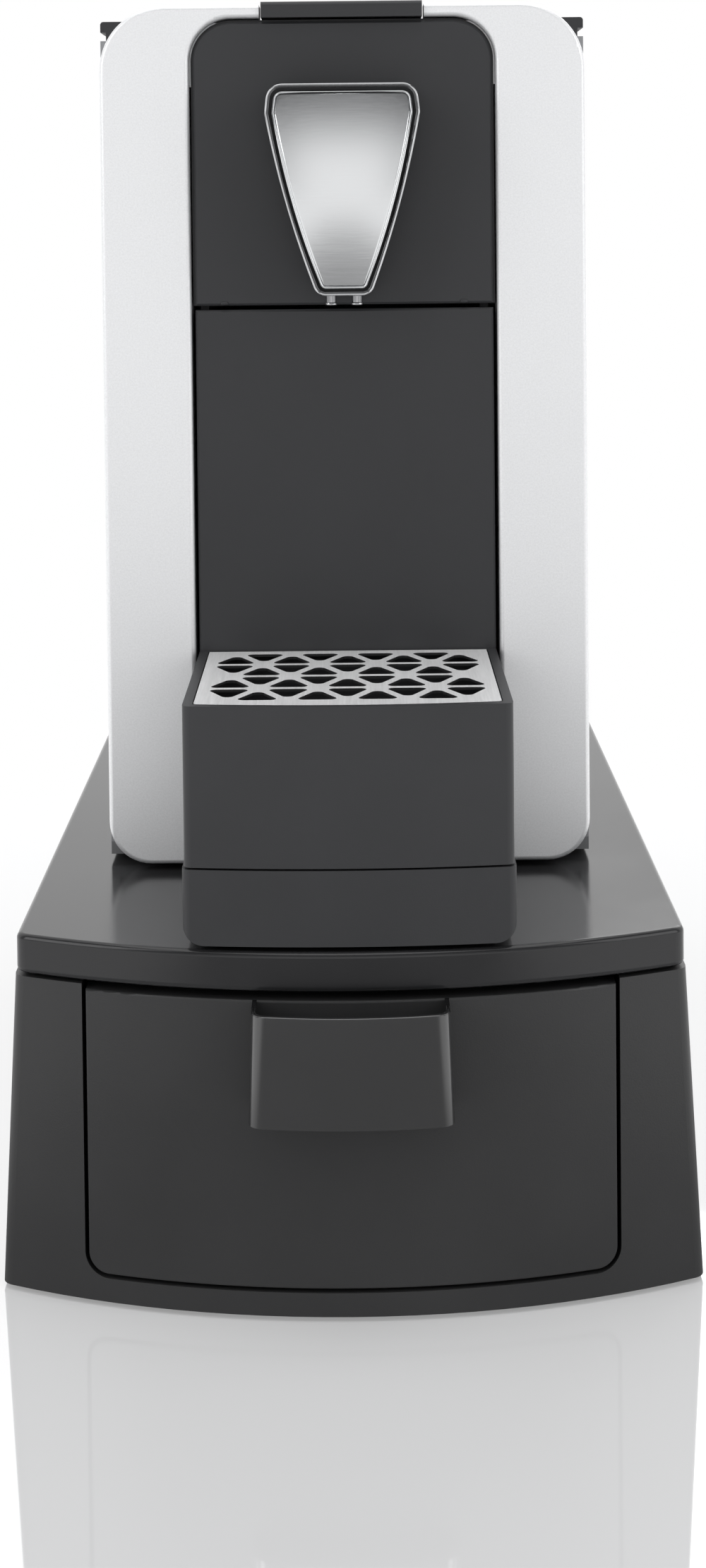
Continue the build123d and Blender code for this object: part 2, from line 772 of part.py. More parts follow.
plate_side = rounded(fascia_rear, shelf_rear, shelf_top, pivot_z + brew_plate_margin, high=brew_plate_margin)
pin_slot = SlotOverall(cage_travel + 2 * slot_radius, 2 * slot_radius)
plate_side -= Pos(pin_y + cage_travel / 2, brew_z) * pin_slot
plate_side -= Pos(pivot_y, pivot_z) * Circle(pivot_radius)
brew_side = sideways(plate_side, brew_inner, brew_outer)
save("brew_plates", group([brew_side, mirrored(brew_side)]))
save("lever_pivot_pin", rod(pivot_radius, (-brew_outer, pivot_y, pivot_z), (brew_outer, pivot_y, pivot_z)))

cross_pin = rod(cross_pin_radius, (-brew_outer, pin_y, brew_z), (brew_outer, pin_y, brew_z))
cage = rod(cage_radius, (0, cage_mouth, brew_z), (0, cage_rear, brew_z))
cage -= Pos(0, cage_mouth + cage_bore_depth / 2, brew_z) * Rot(-90, 0, 0) * Cone(
    cage_bore, cage_bore_end, cage_bore_depth)
yoke_half = cage_yoke_width / 2
cage += slab(-yoke_half, yoke_half, cage_rear, yoke_rear, brew_z - cage_yoke_height / 2,
             brew_z + cage_yoke_height / 2)
save("capsule_cage", cage - cross_pin)
save("cage_cross_pin", cross_pin)
seal_front = cage_mouth - seal_thickness
seal = rod(cage_radius, (0, seal_front, brew_z), (0, cage_mouth, brew_z))
seal -= rod(cage_bore, (0, seal_front, brew_z), (0, cage_mouth, brew_z))
save("cage_seal", seal)

# Lever: a flat paddle that ends in a drum, with two slotted cam plates inside the drum
drum_inner = drum_radius - drum_wall
reach = 2 * drum_radius
tail = (reach * sin(radians(drum_tail)), reach * cos(radians(drum_tail)))
wedge = make_face(Polyline((0, 0), tail, (tail[0], reach), (-reach, reach), (-reach, 0), close=True).edges())
drum = Pos(pivot_y, pivot_z) * ((Circle(drum_radius) - Circle(drum_inner)) & wedge)
lever_front = fascia_front - lever_overhang
paddle = sideways(rounded(lever_front, pivot_y, lever_bottom, lever_top), -lever_half, lever_half)
paddle = fillet(paddle.edges().group_by(Axis.Y)[0].group_by(Axis.Z)[-1], lever_nose)
lever = paddle + sideways(drum, -lever_half, lever_half)
save("brew_lever", lever)


def cam_point(share):
    """The cross pin's centre as the lever sees it, at a share of the opening."""
    turn = radians(lever_opening * share)
    y = pin_y + cage_travel * share - pivot_y
    z = brew_z - pivot_z
    return (y * cos(turn) - z * sin(turn), y * sin(turn) + z * cos(turn))


cam_points = [cam_point(index / cam_steps) for index in range(cam_steps + 1)]


def cam_discs(radius):
    """Discs of one radius along the cross pin's path."""
    return [Pos(*point) * Circle(radius) for point in cam_points]


cam_hub = Circle(pivot_radius + cam_rim)
lobe_discs = cam_discs(slot_radius + cam_rim) + [cam_hub]
cam_lobe = make_hull([edge for disc in lobe_discs for edge in disc.edges()])
cam = cam_lobe + (Circle(drum_inner) & wedge)
slot_discs = cam_discs(slot_radius)
for first, second in zip(slot_discs, slot_discs[1:]):
    cam -= make_hull(first.edges() + second.edges())
cam -= Circle(pivot_radius + pivot_fit)
cam_side = sideways(Pos(pivot_y, pivot_z) * cam, lever_half - cam_thickness, lever_half) - lever
save("lever_cams", group([cam_side, mirrored(cam_side)]))

# Inner frame: the capsule bin's bay, with the brew shelf and its drop chute on top
frame_inner = bin_half + bin_play
frame_outer = frame_inner + frame_wall
bay_rear = bin_rear + bin_play
frame_rear = bay_rear + frame_wall
bay = rounded(-frame_outer, frame_outer, base_top, shelf_top)
bay -= rounded(-frame_inner, frame_inner, plinth_top, shelf_bottom)
bay -= rounded(-frame_inner, frame_inner, base_top, plinth_top - frame_wall)
frame = upright(bay, fascia_rear, bay_rear)
frame += slab(-frame_outer, frame_outer, bay_rear, frame_rear, base_top, shelf_top)
frame += slab(-frame_outer, frame_outer, frame_rear, shelf_rear, shelf_bottom, shelf_top)
gusset_drop = shelf_rear - frame_rear
gusset = make_face(Polyline((frame_rear, shelf_bottom), (shelf_rear, shelf_bottom),
                            (frame_rear, shelf_bottom - gusset_drop), close=True).edges())
gusset = sideways(gusset, frame_outer - frame_wall, frame_outer)
frame += gusset + mirrored(gusset)
frame -= slab(-cage_radius, cage_radius, head_rear + extraction_thickness, cage_mouth + cage_travel,
              shelf_bottom, shelf_top)
save("inner_frame", frame)

# Tank dock behind the body, with the power button and the mains inlet in its rear wall
inlet_z = base_top + dock_height / 2
dock = level(dock_plan(0), base_top, dock_top)
dock -= level(dock_plan(dock_wall), base_top, dock_top - dock_wall)
tank_middle = body_rear + tank_clearance + (dock_depth - tank_clearance) / 2
socket_bottom = dock_top - socket_height
socket = rod(socket_radius, (0, tank_middle, socket_bottom), (0, tank_middle, dock_top))
dock -= socket
socket -= rod(valve_radius + socket_play, (0, tank_middle, socket_bottom + dock_wall),
              (0, tank_middle, dock_top))
save("tank_socket", socket)
power_hole = rod(power_radius + button_clearance, (power_offset, dock_end - dock_wall, inlet_z),
                 (power_offset, dock_end, inlet_z))
inlet_body = rounded(inlet_offset - inlet_width / 2, inlet_offset + inlet_width / 2,
                     inlet_z - inlet_height / 2, inlet_z + inlet_height / 2, inlet_wall, inlet_wall)
inlet_rim = offset(inlet_body, amount=inlet_wall)
inlet_hollow = offset(inlet_body, amount=-inlet_wall)
inlet_front = dock_end - inlet_depth
dock -= power_hole + upright(inlet_body, dock_end - dock_wall, dock_end)
save("tank_dock", dock)
inlet = upright(inlet_body, inlet_front, dock_end) + upright(inlet_rim, dock_end, dock_end + inlet_lip)
inlet -= upright(inlet_hollow, inlet_front + inlet_wall, dock_end + inlet_lip)
save("mains_inlet", inlet)
pin_front = inlet_front + inlet_wall
inlet_pins = []
for x, z in ((-inlet_pin_spread, 0), (inlet_pin_spread, 0), (0, inlet_pin_rise)):
    blade = Rectangle(inlet_pin_width, inlet_pin_height)
    inlet_pins.append(upright(Pos(inlet_offset + x, inlet_z + z) * blade,
                              pin_front, pin_front + inlet_pin_length))
save("inlet_pins", group(inlet_pins))
flange_rear = dock_end - dock_wall - button_clearance
power = rod(power_radius, (power_offset, flange_rear, inlet_z),
            (power_offset, dock_end + power_proud, inlet_z))
power = fillet(power.edges().group_by(Axis.Y)[-1], power_proud / 3)
power += rod(power_radius + button_flange, (power_offset, flange_rear - button_flange, inlet_z),
             (power_offset, flange_rear, inlet_z))
save("power_button", power)

# Water tank with its valve and hinged lid
tank_front = body_rear + tank_clearance
tank_bottom = dock_top + tank_seat_gap
tank_top = tank_bottom + tank_height
hinge_y = tank_front + hinge_knuckle
hinge_z = tank_top + lid_clearance + hinge_knuckle
bridge_rear = tank_front + 2 * hinge_knuckle
lid_bottom = tank_top + lid_clearance


def tank_plan(inset, front):
    """The tank's plan drawn in from its sides and rear, starting at a given front."""
    half = tank_width / 2 - inset
    return rounded(-half, half, front, dock_end - inset, tank_front_corner, tank_corner - inset)


tank = level(tank_plan(0, tank_front), tank_bottom, tank_top)
tank -= level(tank_plan(tank_wall, tank_front + tank_wall), tank_bottom + tank_wall, tank_top - tank_wall)
tank -= level(tank_plan(tank_wall, bridge_rear), tank_top - tank_wall, tank_top)
hinge_pin = rod(hinge_pin_radius, (-hinge_span / 2 - hinge_ear, hinge_y, hinge_z),
                (hinge_span / 2 + hinge_ear, hinge_y, hinge_z))
ear_outline = rounded(tank_front, tank_front + 2 * hinge_knuckle, tank_top, hinge_z)
ear_outline += Pos(hinge_y, hinge_z) * Circle(hinge_knuckle)
ear = sideways(ear_outline, hinge_span / 2, hinge_span / 2 + hinge_ear)
tank += ear + mirrored(ear)
tank -= hinge_pin
save("water_tank", tank)
save("lid_hinge_pin", hinge_pin)
valve = rod(valve_radius, (0, tank_middle, tank_bottom - valve_length), (0, tank_middle, tank_bottom))
valve = fillet(valve.edges().group_by(Axis.Z)[0], valve_radius / 4)
save("tank_valve", valve)

lid_front = bridge_rear + lid_clearance
lid = level(tank_plan(0, lid_front), lid_bottom, lid_bottom + lid_thickness)
lid = fillet(lid.edges().group_by(Axis.Z)[-1], lid_thickness / 4)
skirt_inset = tank_wall + lid_clearance
lid += level(tank_plan(skirt_inset, lid_front) - tank_plan(skirt_inset + tank_wall, lid_front + tank_wall),
             lid_bottom - lid_skirt, lid_bottom)
knuckle_half = hinge_span / 2 - lid_clearance
knuckle = Pos(hinge_y, hinge_z) * Circle(hinge_knuckle) + rounded(
    hinge_y, lid_front + tank_wall, lid_bottom, lid_bottom + hinge_knuckle)
lid += sideways(knuckle, -knuckle_half, knuckle_half)
lid -= rod(hinge_pin_radius + hinge_fit, (-knuckle_half, hinge_y, hinge_z), (knuckle_half, hinge_y, hinge_z))
save("tank_lid", lid)

# Boiler on the inner frame's rear wall, flow meter, the pump on its mounts half-way between, control board
boiler_half = boiler_width / 2
boiler_rear = frame_rear + boiler_depth
boiler_y = (frame_rear + boiler_rear) / 2
boiler_bottom = shelf_bottom - gusset_drop - boiler_height
boiler = level(rounded(-boiler_half, boiler_half, frame_rear, boiler_rear, high=boiler_round),
               boiler_bottom, boiler_bottom + boiler_height)
for index in range(boiler_fins):
    z = boiler_bottom + boiler_height * (index + 1) / (boiler_fins + 1)
    boiler -= slab(-boiler_half, boiler_half, boiler_rear - boiler_groove, boiler_rear,
                   z - boiler_groove / 2, z + boiler_groove / 2)
save("boiler", boiler)

meter_x = -(rear_half - hose_radius - hose_play - body_wall)
meter_y = body_rear - body_wall - meter_radius - hose_bend
meter_top = base_top + meter_thickness
save("flow_meter", rod(meter_radius, (meter_x, meter_y, base_top), (meter_x, meter_y, meter_top)))

pump_y = (boiler_y + meter_y) / 2
pump_z = base_top + pump_coil_radius + pump_lift
pump_end = pump_length / 2
coil_end = pump_coil_length / 2
pump = rod(pump_radius, (-pump_end, pump_y, pump_z), (pump_end, pump_y, pump_z))
pump += rod(pump_coil_radius, (-coil_end, pump_y, pump_z), (coil_end, pump_y, pump_z))
mount_outer = coil_end + pump_mount_width
mount_outline = rounded(pump_y - pump_coil_radius, pump_y + pump_coil_radius, base_top, pump_z)
pump_mount = sideways(mount_outline, coil_end, mount_outer) - pump
save("pump_mounts", group([pump_mount, mirrored(pump_mount)]))
save("pump", pump)

board_x = body_half - body_wall - standoff_length
board_front = frame_rear + standoff_radius
board_low = boiler_bottom + boiler_height - control_height
control = slab(board_x - board_thickness, board_x, board_front, board_front + control_depth,
               board_low, board_low + control_height)
for y in (board_front + 2 * standoff_radius, board_front + control_depth - 2 * standoff_radius):
    for z in (board_low + 2 * standoff_radius, board_low + control_height - 2 * standoff_radius):
        control += rod(standoff_radius, (board_x, y, z), (body_half - body_wall, y, z))
relay_y = board_front + control_depth / 2
control += slab(board_x - board_thickness - relay_size, board_x - board_thickness, relay_y - relay_size / 2,
                relay_y + relay_size / 2, board_low + control_height - 2 * relay_size,
                board_low + control_height - relay_size)
save("control_board", control)


def hose(*points):
    """Round hose along straight runs joined by tangent bends."""
    path = FilletPolyline(*points, radius=hose_bend)
    return sweep(Plane(origin=points[0], z_dir=path % 0) * Circle(hose_radius), path)


low_z = base_top + meter_thickness / 2
feed_y = tank_middle
suction = hose((0, feed_y, socket_bottom), (0, feed_y, low_z), (meter_x, feed_y, low_z),
               (meter_x, meter_y + meter_radius, low_z))
save("suction_hose", suction)
feed_hole = rod(hose_radius + hose_play, (meter_x, body_rear - body_wall, low_z),
                (meter_x, body_rear, low_z))
rear_panel = upright(rounded(-rear_half, rear_half, base_top, side_top), body_rear - body_wall, body_rear)
save("rear_panel", rear_panel - feed_hole)
save("meter_hose", hose((meter_x, meter_y, meter_top), (meter_x, meter_y, pump_z),
                        (meter_x, pump_y, pump_z), (-pump_end, pump_y, pump_z)))
feed_z = boiler_bottom + 2 * hose_bend
riser_x = pump_end + hose_reach
save("pressure_hose", hose((pump_end, pump_y, pump_z), (riser_x, pump_y, pump_z), (riser_x, pump_y, feed_z),
                           (riser_x, boiler_y, feed_z), (boiler_half, boiler_y, feed_z)))
hot_z = boiler_bottom + boiler_height - hose_bend
head_y = (fascia_rear + head_rear) / 2
save("brew_hose", hose((-boiler_half, boiler_y, hot_z), (-riser_x, boiler_y, hot_z),
                       (-riser_x, boiler_y, brew_z), (-riser_x, head_y, brew_z),
                       (-brew_outer, head_y, brew_z)))
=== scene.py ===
import math

import bpy
from mathutils import Matrix, Vector, geometry


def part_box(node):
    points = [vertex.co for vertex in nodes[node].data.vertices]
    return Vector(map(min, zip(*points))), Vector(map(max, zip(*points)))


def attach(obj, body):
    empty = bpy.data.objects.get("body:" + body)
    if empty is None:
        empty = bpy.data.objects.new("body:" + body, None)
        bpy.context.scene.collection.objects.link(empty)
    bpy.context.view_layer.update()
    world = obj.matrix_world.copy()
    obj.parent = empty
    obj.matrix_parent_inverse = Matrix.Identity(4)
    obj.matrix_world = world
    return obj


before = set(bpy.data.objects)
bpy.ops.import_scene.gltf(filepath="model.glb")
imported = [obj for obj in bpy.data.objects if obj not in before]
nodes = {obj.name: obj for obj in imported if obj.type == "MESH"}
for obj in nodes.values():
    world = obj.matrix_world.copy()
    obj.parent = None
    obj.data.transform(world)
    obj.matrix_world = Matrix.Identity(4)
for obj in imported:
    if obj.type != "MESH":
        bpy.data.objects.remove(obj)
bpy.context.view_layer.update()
scene = bpy.context.scene

AHEAD = Vector((0, -1, 0))
UP = Vector((0, 0, 1))
SIDES = (("left", -1), ("right", 1))
WHITE = (1, 1, 1)
BLACK = (0, 0, 0)
NOISE_LOW, NOISE_HIGH = 0.3, 0.7


# Node helpers

def add_node(tree, kind, values=None, links=None):
    """A node with set values and linked inputs."""
    node = tree.nodes.new(kind)
    for socket, value in (values or {}).items():
        node.inputs[socket].default_value = value
    for socket, source in (links or {}).items():
        tree.links.new(source, node.inputs[socket])
    return node


def object_coords(tree, stretch=(1, 1, 1)):
    """Object-space coordinates, stretched along the axes."""
    coords = add_node(tree, "ShaderNodeTexCoord").outputs["Object"]
    mapping = add_node(tree, "ShaderNodeMapping", {"Scale": stretch}, {"Vector": coords})
    return mapping.outputs["Vector"]


def noise(tree, vector, scale, detail=3.0, rough=0.55):
    """A noise texture's value."""
    values = {"Scale": scale, "Detail": detail, "Roughness": rough}
    return add_node(tree, "ShaderNodeTexNoise", values, {"Vector": vector}).outputs["Fac"]


def ramp(tree, value, *stops):
    """A colour ramp over a value; each stop is a position and a colour."""
    node = add_node(tree, "ShaderNodeValToRGB", links={"Fac": value})
    elements = node.color_ramp.elements
    while len(elements) < len(stops):
        elements.new(0.5)
    for element, (position, colour) in zip(elements, stops):
        element.position = position
        element.color = (*colour, 1)
    return node.outputs["Color"]


def share(tree, value, start, end, kind="LINEAR"):
    """How far a value lies between two limits, from 0 to 1."""
    node = tree.nodes.new("ShaderNodeMapRange")
    node.interpolation_type = kind
    node.inputs["From Min"].default_value = start
    node.inputs["From Max"].default_value = end
    tree.links.new(value, node.inputs["Value"])
    return node.outputs["Result"]


def combine(tree, operation, *values):
    """A math node's result."""
    node = tree.nodes.new("ShaderNodeMath")
    node.operation = operation
    for place, value in enumerate(values):
        tree.links.new(value, node.inputs[place])
    return node.outputs["Value"]


def blend(tree, kind, first, second):
    """Two colours blended in full."""
    first_colour, second_colour, result_colour = 6, 7, 2
    node = tree.nodes.new("ShaderNodeMix")
    node.data_type = "RGBA"
    node.blend_type = kind
    node.inputs["Factor"].default_value = 1.0
    tree.links.new(first, node.inputs[first_colour])
    tree.links.new(second, node.inputs[second_colour])
    return node.outputs[result_colour]


def split_axes(tree, vector):
    """The three parts of a vector, by the names X, Y and Z."""
    return add_node(tree, "ShaderNodeSeparateXYZ", links={"Vector": vector}).outputs


# Materials: every one is a Principled shader with procedural detail in object space

def new_material(name):
    """A node material with its output and one Principled shader."""
    material = bpy.data.materials.new(name)
    material.use_nodes = True
    tree = material.node_tree
    tree.nodes.clear()
    shader = add_node(tree, "ShaderNodeBsdfPrincipled")
    add_node(tree, "ShaderNodeOutputMaterial", links={"Surface": shader.outputs["BSDF"]})
    return material, tree, shader


def shade(colour, factor):
    """A colour made lighter or darker."""
    return tuple(min(1.0, channel * factor) for channel in colour)


def gloss(tree, shader, pattern, rough, change):
    """Roughness that follows a noise pattern a little way up and down."""
    values = {"From Min": NOISE_LOW, "From Max": NOISE_HIGH}
    values.update({"To Min": rough - change, "To Max": rough + change})
    node = add_node(tree, "ShaderNodeMapRange", values, {"Value": pattern})
    tree.links.new(node.outputs["Result"], shader.inputs["Roughness"])


def relieve(tree, shader, height, strength, distance):
    """Relief on the shader's normal."""
    values = {"Strength": strength, "Distance": distance}
    node = add_node(tree, "ShaderNodeBump", values, {"Height": height})
    tree.links.new(node.outputs["Normal"], shader.inputs["Normal"])


def grained(name, colour, rough, grain=2600.0, relief=0.12, cloud=0.08,
            specular=0.5, metallic=0.0, coat=0.0):
    """A moulded or painted surface: fine grain relief, a soft cloud in its tone and its gloss."""
    material, tree, shader = new_material(name)
    vector = object_coords(tree)
    fine = noise(tree, vector, grain, detail=2.0)
    wide = noise(tree, vector, scale=21.0, detail=4.0)
    dark, light = shade(colour, 1 - cloud), shade(colour, 1 + cloud)
    tone = ramp(tree, wide, (0.25, dark), (0.75, light))
    tree.links.new(tone, shader.inputs["Base Color"])
    shader.inputs["Metallic"].default_value = metallic
    shader.inputs["Specular IOR Level"].default_value = specular
    shader.inputs["Coat Weight"].default_value = coat
    gloss(tree, shader, wide, rough, change=0.04)
    relieve(tree, shader, fine, relief, distance=0.0002)
    return material


def flaked(name, colour, rough, metallic):
    """Silver paint with fine bright and dull flakes."""
    material, tree, shader = new_material(name)
    vector = object_coords(tree)
    flakes = noise(tree, vector, scale=1900.0, detail=2.0, rough=0.7)
    wide = noise(tree, vector, scale=14.0)
    dull, bright = shade(colour, 0.93), shade(colour, 1.05)
    tone = ramp(tree, flakes, (NOISE_LOW, dull), (0.55, colour), (0.75, bright))
    tree.links.new(tone, shader.inputs["Base Color"])
    shader.inputs["Metallic"].default_value = metallic
    gloss(tree, shader, wide, rough, change=0.03)
    relieve(tree, shader, flakes, strength=0.05, distance=0.0001)
    return material


def brushed(name, colour, rough, stretch, relief=0.08, metallic=1.0, streak=0.07, painted_wall_shade=None):
    """Brushed metal: fine scratches along one axis; the walls of its holes may be darkened with
    painted shade.
    """
    material, tree, shader = new_material(name)
    lines = noise(tree, object_coords(tree, stretch), scale=1.0, detail=4.0, rough=0.65)
    dull, bright = shade(colour, 1 - streak), shade(colour, 1 + streak)
    tone = ramp(tree, lines, (NOISE_LOW, dull), (NOISE_HIGH, bright))
    # Painted shade: faces that turn away from straight up, such as hole walls, are darkened by their
    # normal.
    if painted_wall_shade:
        normal = add_node(tree, "ShaderNodeTexCoord").outputs["Normal"]
        flat = ramp(tree, split_axes(tree, normal)["Z"], (0.4, painted_wall_shade), (0.8, WHITE))
        tone = blend(tree, "MULTIPLY", tone, flat)
    tree.links.new(tone, shader.inputs["Base Color"])
    shader.inputs["Metallic"].default_value = metallic
    gloss(tree, shader, lines, rough, change=streak)
    relieve(tree, shader, lines, relief, distance=0.0001)
    return material


def clear(name, tint, rough):
    """Tinted clear plastic with faint moulding waves."""
    material, tree, shader = new_material(name)
    waves = noise(tree, object_coords(tree, (1, 1, 0.35)), scale=30.0, detail=2.0)
    tone = ramp(tree, waves, (NOISE_LOW, shade(tint, 0.96)), (NOISE_HIGH, tint))
    tree.links.new(tone, shader.inputs["Base Color"])
    shader.inputs["Roughness"].default_value = rough
    shader.inputs["Transmission Weight"].default_value = 0.92
    shader.inputs["IOR"].default_value = 1.3
    relieve(tree, shader, waves, strength=0.02, distance=0.0004)
    return material


def slot_of(material):
    """A material's name without the number that Blender may add."""
    return material.name.split(".")[0]


FINE_SCRATCHES = (900, 900, 90)
slot_looks = (
    flaked("silver_fascia", (0.91, 0.914, 0.922), 0.42, metallic=0.6),
    grained("charcoal_plastic", (0.031, 0.0315, 0.0335), 0.42, specular=0.35),
    grained("stand_charcoal", (0.032, 0.032, 0.0325), 0.36, grain=2100.0, relief=0.16, specular=0.4),
    grained("body_grey", (0.27, 0.274, 0.28), 0.5, cloud=0.02, specular=0.3),
    brushed("chrome_trim", (0.44, 0.445, 0.455), 0.1, FINE_SCRATCHES, relief=0.02, streak=0.03),
    brushed("brushed_shield", (0.8, 0.81, 0.82), 0.24, (60, 2400, 2400), relief=0.03, streak=0.025),
    # The grid's hole walls get painted shade, so that its holes look dark.
    brushed("grid_steel", (0.8, 0.8, 0.8), 0.45, (2200, 70, 2200), metallic=0.35,
            painted_wall_shade=(0.03, 0.03, 0.031)),
    grained("inner_plastic", (0.075, 0.077, 0.08), 0.5, relief=0.2),
    brushed("steel", (0.62, 0.62, 0.63), 0.28, (1500, 90, 1500)),
    grained("cast_aluminium", (0.55, 0.56, 0.57), 0.5, grain=1300.0, relief=0.35, metallic=0.9),
    brushed("brass", (0.72, 0.53, 0.26), 0.3, (1200, 1200, 120)),
    grained("rubber", (0.018, 0.018, 0.019), 0.7, grain=1500.0, relief=0.3, specular=0.3),
    grained("hose_silicone", (0.62, 0.61, 0.58), 0.45, relief=0.08),
    grained("circuit_board", (0.02, 0.12, 0.06), 0.4, grain=900.0, relief=0.25, cloud=0.2),
    clear("tank_clear", (0.88, 0.91, 0.935), 0.06),
    grained("button_plastic", (0.06, 0.061, 0.064), 0.3, grain=3000.0, relief=0.06),
)
finish = {slot_of(material): material for material in slot_looks}

# Nodes and pieces whose look departs from the rest of their slot
# A brighter copy of the chrome trim for the nozzle lips and the bezel bead: painted highlight.
chrome_painted_bright = brushed("chrome_painted_bright", (0.62, 0.625, 0.635), 0.08, FINE_SCRATCHES, relief=0.02,
                        streak=0.03)
tray_charcoal = grained("tray_charcoal", (0.036, 0.0365, 0.0385), 0.42, specular=0.35)
plate_charcoal = grained("plate_charcoal", (0.024, 0.024, 0.025), 0.15, grain=2100.0, relief=0.04,
                         specular=0.4)
handle_charcoal = grained("handle_charcoal", (0.016, 0.016, 0.0165), 0.2, grain=2100.0, relief=0.05,
                          specular=0.8, coat=1.0)
base_grey = grained("base_grey", (0.17, 0.172, 0.176), 0.5, cloud=0.03, specular=0.3)
# A darker copy of the chrome trim for the bezel: painted dark reflection.
chrome_painted_dark = brushed("chrome_painted_dark", (0.11, 0.111, 0.114), 0.12, FINE_SCRATCHES, relief=0.02,
                      streak=0.03)
nozzle_steel = brushed("nozzle_steel", (0.42, 0.42, 0.43), 0.14, FINE_SCRATCHES, relief=0.02,
                       streak=0.04)
own_finish = {
    "drip_tray": tray_charcoal,
    "base_plinth": tray_charcoal,
    "stand_top_plate": plate_charcoal,
    "drawer_handle": handle_charcoal,
    "machine_base": base_grey,
    "spout_bezel": chrome_painted_dark,
    "spout_nozzles": nozzle_steel,
}

for name, node in nodes.items():
    for place, old in enumerate(node.data.materials):
        node.data.materials[place] = own_finish.get(name, finish[slot_of(old)])


# Round beads that the small moulded details are made of

def domed(points, radius):
    """An open path with a dome at each end, as (point, radius) pairs."""
    steps = 5
    angles = [math.pi / 2 * step / steps for step in range(1, steps + 1)]

    def cap(tip, inner):
        along = (inner - tip).normalized() * radius
        return [(tip + along * (1 - math.cos(turn)), radius * math.sin(turn)) for turn in angles]

    body = [(point, radius) for point in points[1:-1]]
    return cap(points[0], points[1]) + body + cap(points[-1], points[-2])[::-1]


def ring(centre, normal, size, radius):
    """A circle round a normal, as (point, radius) pairs."""
    count = 40
    first = normal.orthogonal().normalized()
    second = normal.cross(first)
    turns = [2 * math.pi * step / count for step in range(count)]
    spokes = [math.cos(turn) * first + math.sin(turn) * second for turn in turns]
    return [(centre + size * spoke, radius) for spoke in spokes]


def arc(centre, size, start, end):
    """Points of a level arc between two angles in degrees."""
    count = 9
    turns = [math.radians(start + (end - start) * step / count) for step in range(count + 1)]
    return [centre + size * Vector((math.cos(turn), math.sin(turn), 0)) for turn in turns]


def tube(path, normal, closed):
    """Vertices and faces of a round tube along (point, radius) pairs, with flat ends if open."""
    count, sides = len(path), 16
    points = [point for point, radius in path]
    vertices, faces = [], []
    for index, (point, radius) in enumerate(path):
        before = points[index - 1] if closed or index else point
        after = points[(index + 1) % count] if closed or index + 1 < count else point
        across = (after - before).normalized().cross(normal)
        for step in range(sides):
            turn = 2 * math.pi * step / sides
            vertices.append(point + radius * (math.cos(turn) * across + math.sin(turn) * normal))
    for index in range(count if closed else count - 1):
        here, there = index * sides, (index + 1) % count * sides
        for step in range(sides):
            beside = (step + 1) % sides
            faces.append((here + step, there + step, there + beside, here + beside))
    if not closed:
        faces.append(tuple(range(sides)))
        faces.append(tuple(range(count * sides - 1, (count - 1) * sides - 1, -1)))
    return vertices, faces


def bead(name, body, slot, path, normal, closed=False, look=None):
    """A round bead along a path square to a normal, riding on a body in a finish of the record or in
    a given look.
    """
    vertices, faces = tube(path, normal, closed)
    mesh = bpy.data.meshes.new(name)
    mesh.from_pydata(vertices, [], faces)
    mesh.shade_smooth()
    mesh.materials.append(look or finish[slot])
    piece = bpy.data.objects.new(name, mesh)
    scene.collection.objects.link(piece)
    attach(piece, body)


# Details of the front, placed from the boxes and outlines of the nodes that carry them

def add_panel_nubs():
    """Two short nubs on the split line under the upper panel."""
    offset, length, radius = 0.0376, 0.0026, 0.0006
    sunk, lift = radius / 3, 1.2 * radius
    panel_low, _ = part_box("upper_front_panel")
    for label, side in SIDES:
        x = side * offset - length / 2
        start = Vector((x, panel_low[1] + sunk, panel_low[2] + lift))
        end = start + Vector((length, 0, 0))
        bead(f"panel_nub_{label}", "chassis", "charcoal_plastic", domed([start, end], radius), UP)


def add_nozzle_lips():
    """A round lip at the outlet of each nozzle, in the brighter chrome copy: a painted glint."""
    nozzle_radius, radius = 0.0017, 0.0005
    low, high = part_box("spout_nozzles")
    for label, side in SIDES:
        x = side * (high[0] - nozzle_radius)
        outlet = Vector((x, (low[1] + high[1]) / 2, low[2] + radius / 2))
        lip = ring(outlet, UP, nozzle_radius - radius / 2, radius)
        bead(f"nozzle_lip_{label}", "chassis", "chrome_trim", lip, UP, closed=True,
             look=chrome_painted_bright)


def front_edge(name, step=0.0003):
    """Points round a node's convex outline as seen from the front, at its foremost depth."""
    node = nodes[name]
    points = [node.matrix_world @ vertex.co for vertex in node.data.vertices]
    front = min(point.y for point in points)
    edge = []
    for index in geometry.convex_hull_2d([(point.x, point.z) for point in points]):
        point = Vector((points[index].x, front, points[index].z))
        if not edge or (point - edge[-1]).length > step:
            edge.append(point)
    return edge


def drawn_in(edge, amount):
    """The points of a front outline moved towards its inside."""
    moved = []
    for index, point in enumerate(edge):
        along = (edge[(index + 1) % len(edge)] - edge[index - 1]).normalized()
        moved.append(point + amount * Vector((-along.z, 0, along.x)))
    return moved


def add_bezel_wire():
    """A bead on the outer edge of the bezel's face, in the brighter chrome copy: a painted highlight
    line.
    """
    radius = 0.0003
    sunk = Vector((0, radius / 2, 0))
    edge = drawn_in(front_edge("spout_bezel"), radius)
    wire = [(point + sunk, radius) for point in edge]
    bead("bezel_wire", "chassis", "chrome_trim", wire, AHEAD, closed=True, look=chrome_painted_bright)


def add_shield_rim():
    """A rolled rim that follows the domed shield's edge."""
    dome_radius, radius, outwards = 0.1178, 0.0005, 0.0002
    low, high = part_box("spout_shield")
    middle = (low[2] + high[2]) / 2
    rim = []
    for point in drawn_in(front_edge("spout_shield"), -outwards):
        off_axis = point.x ** 2 + (point.z - middle) ** 2
        depth = dome_radius - math.sqrt(dome_radius ** 2 - off_axis)
        rim.append((point + Vector((0, depth + radius, 0)), radius))
    bead("shield_rim", "chassis", "brushed_shield", rim, AHEAD, closed=True)


